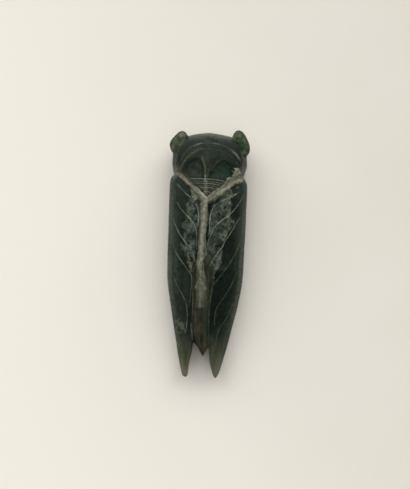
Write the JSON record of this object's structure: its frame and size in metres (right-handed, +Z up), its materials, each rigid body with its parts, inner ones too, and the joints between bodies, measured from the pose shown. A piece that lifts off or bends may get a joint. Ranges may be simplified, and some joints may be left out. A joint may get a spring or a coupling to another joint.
{
  "type": "carved cicada",
  "caption": "Cicada carved from dark green nephrite, with corner eyes, a raised Y on its back and folded wings; a small ornament that lies flat on its belly.",
  "frame": {"origin": "middle of the outline seen from above, on the plane of the flat belly", "axes": "+Y towards the head, +X towards the cicada's right side as seen from above with the head away, +Z up out of the back"},
  "size_m": [0.021, 0.065, 0.0092],
  "materials": {
    "nephrite": "polished"
  },
  "bodies": {
    "root": {"cicada": "nephrite"}
  },
  "joints": []
}
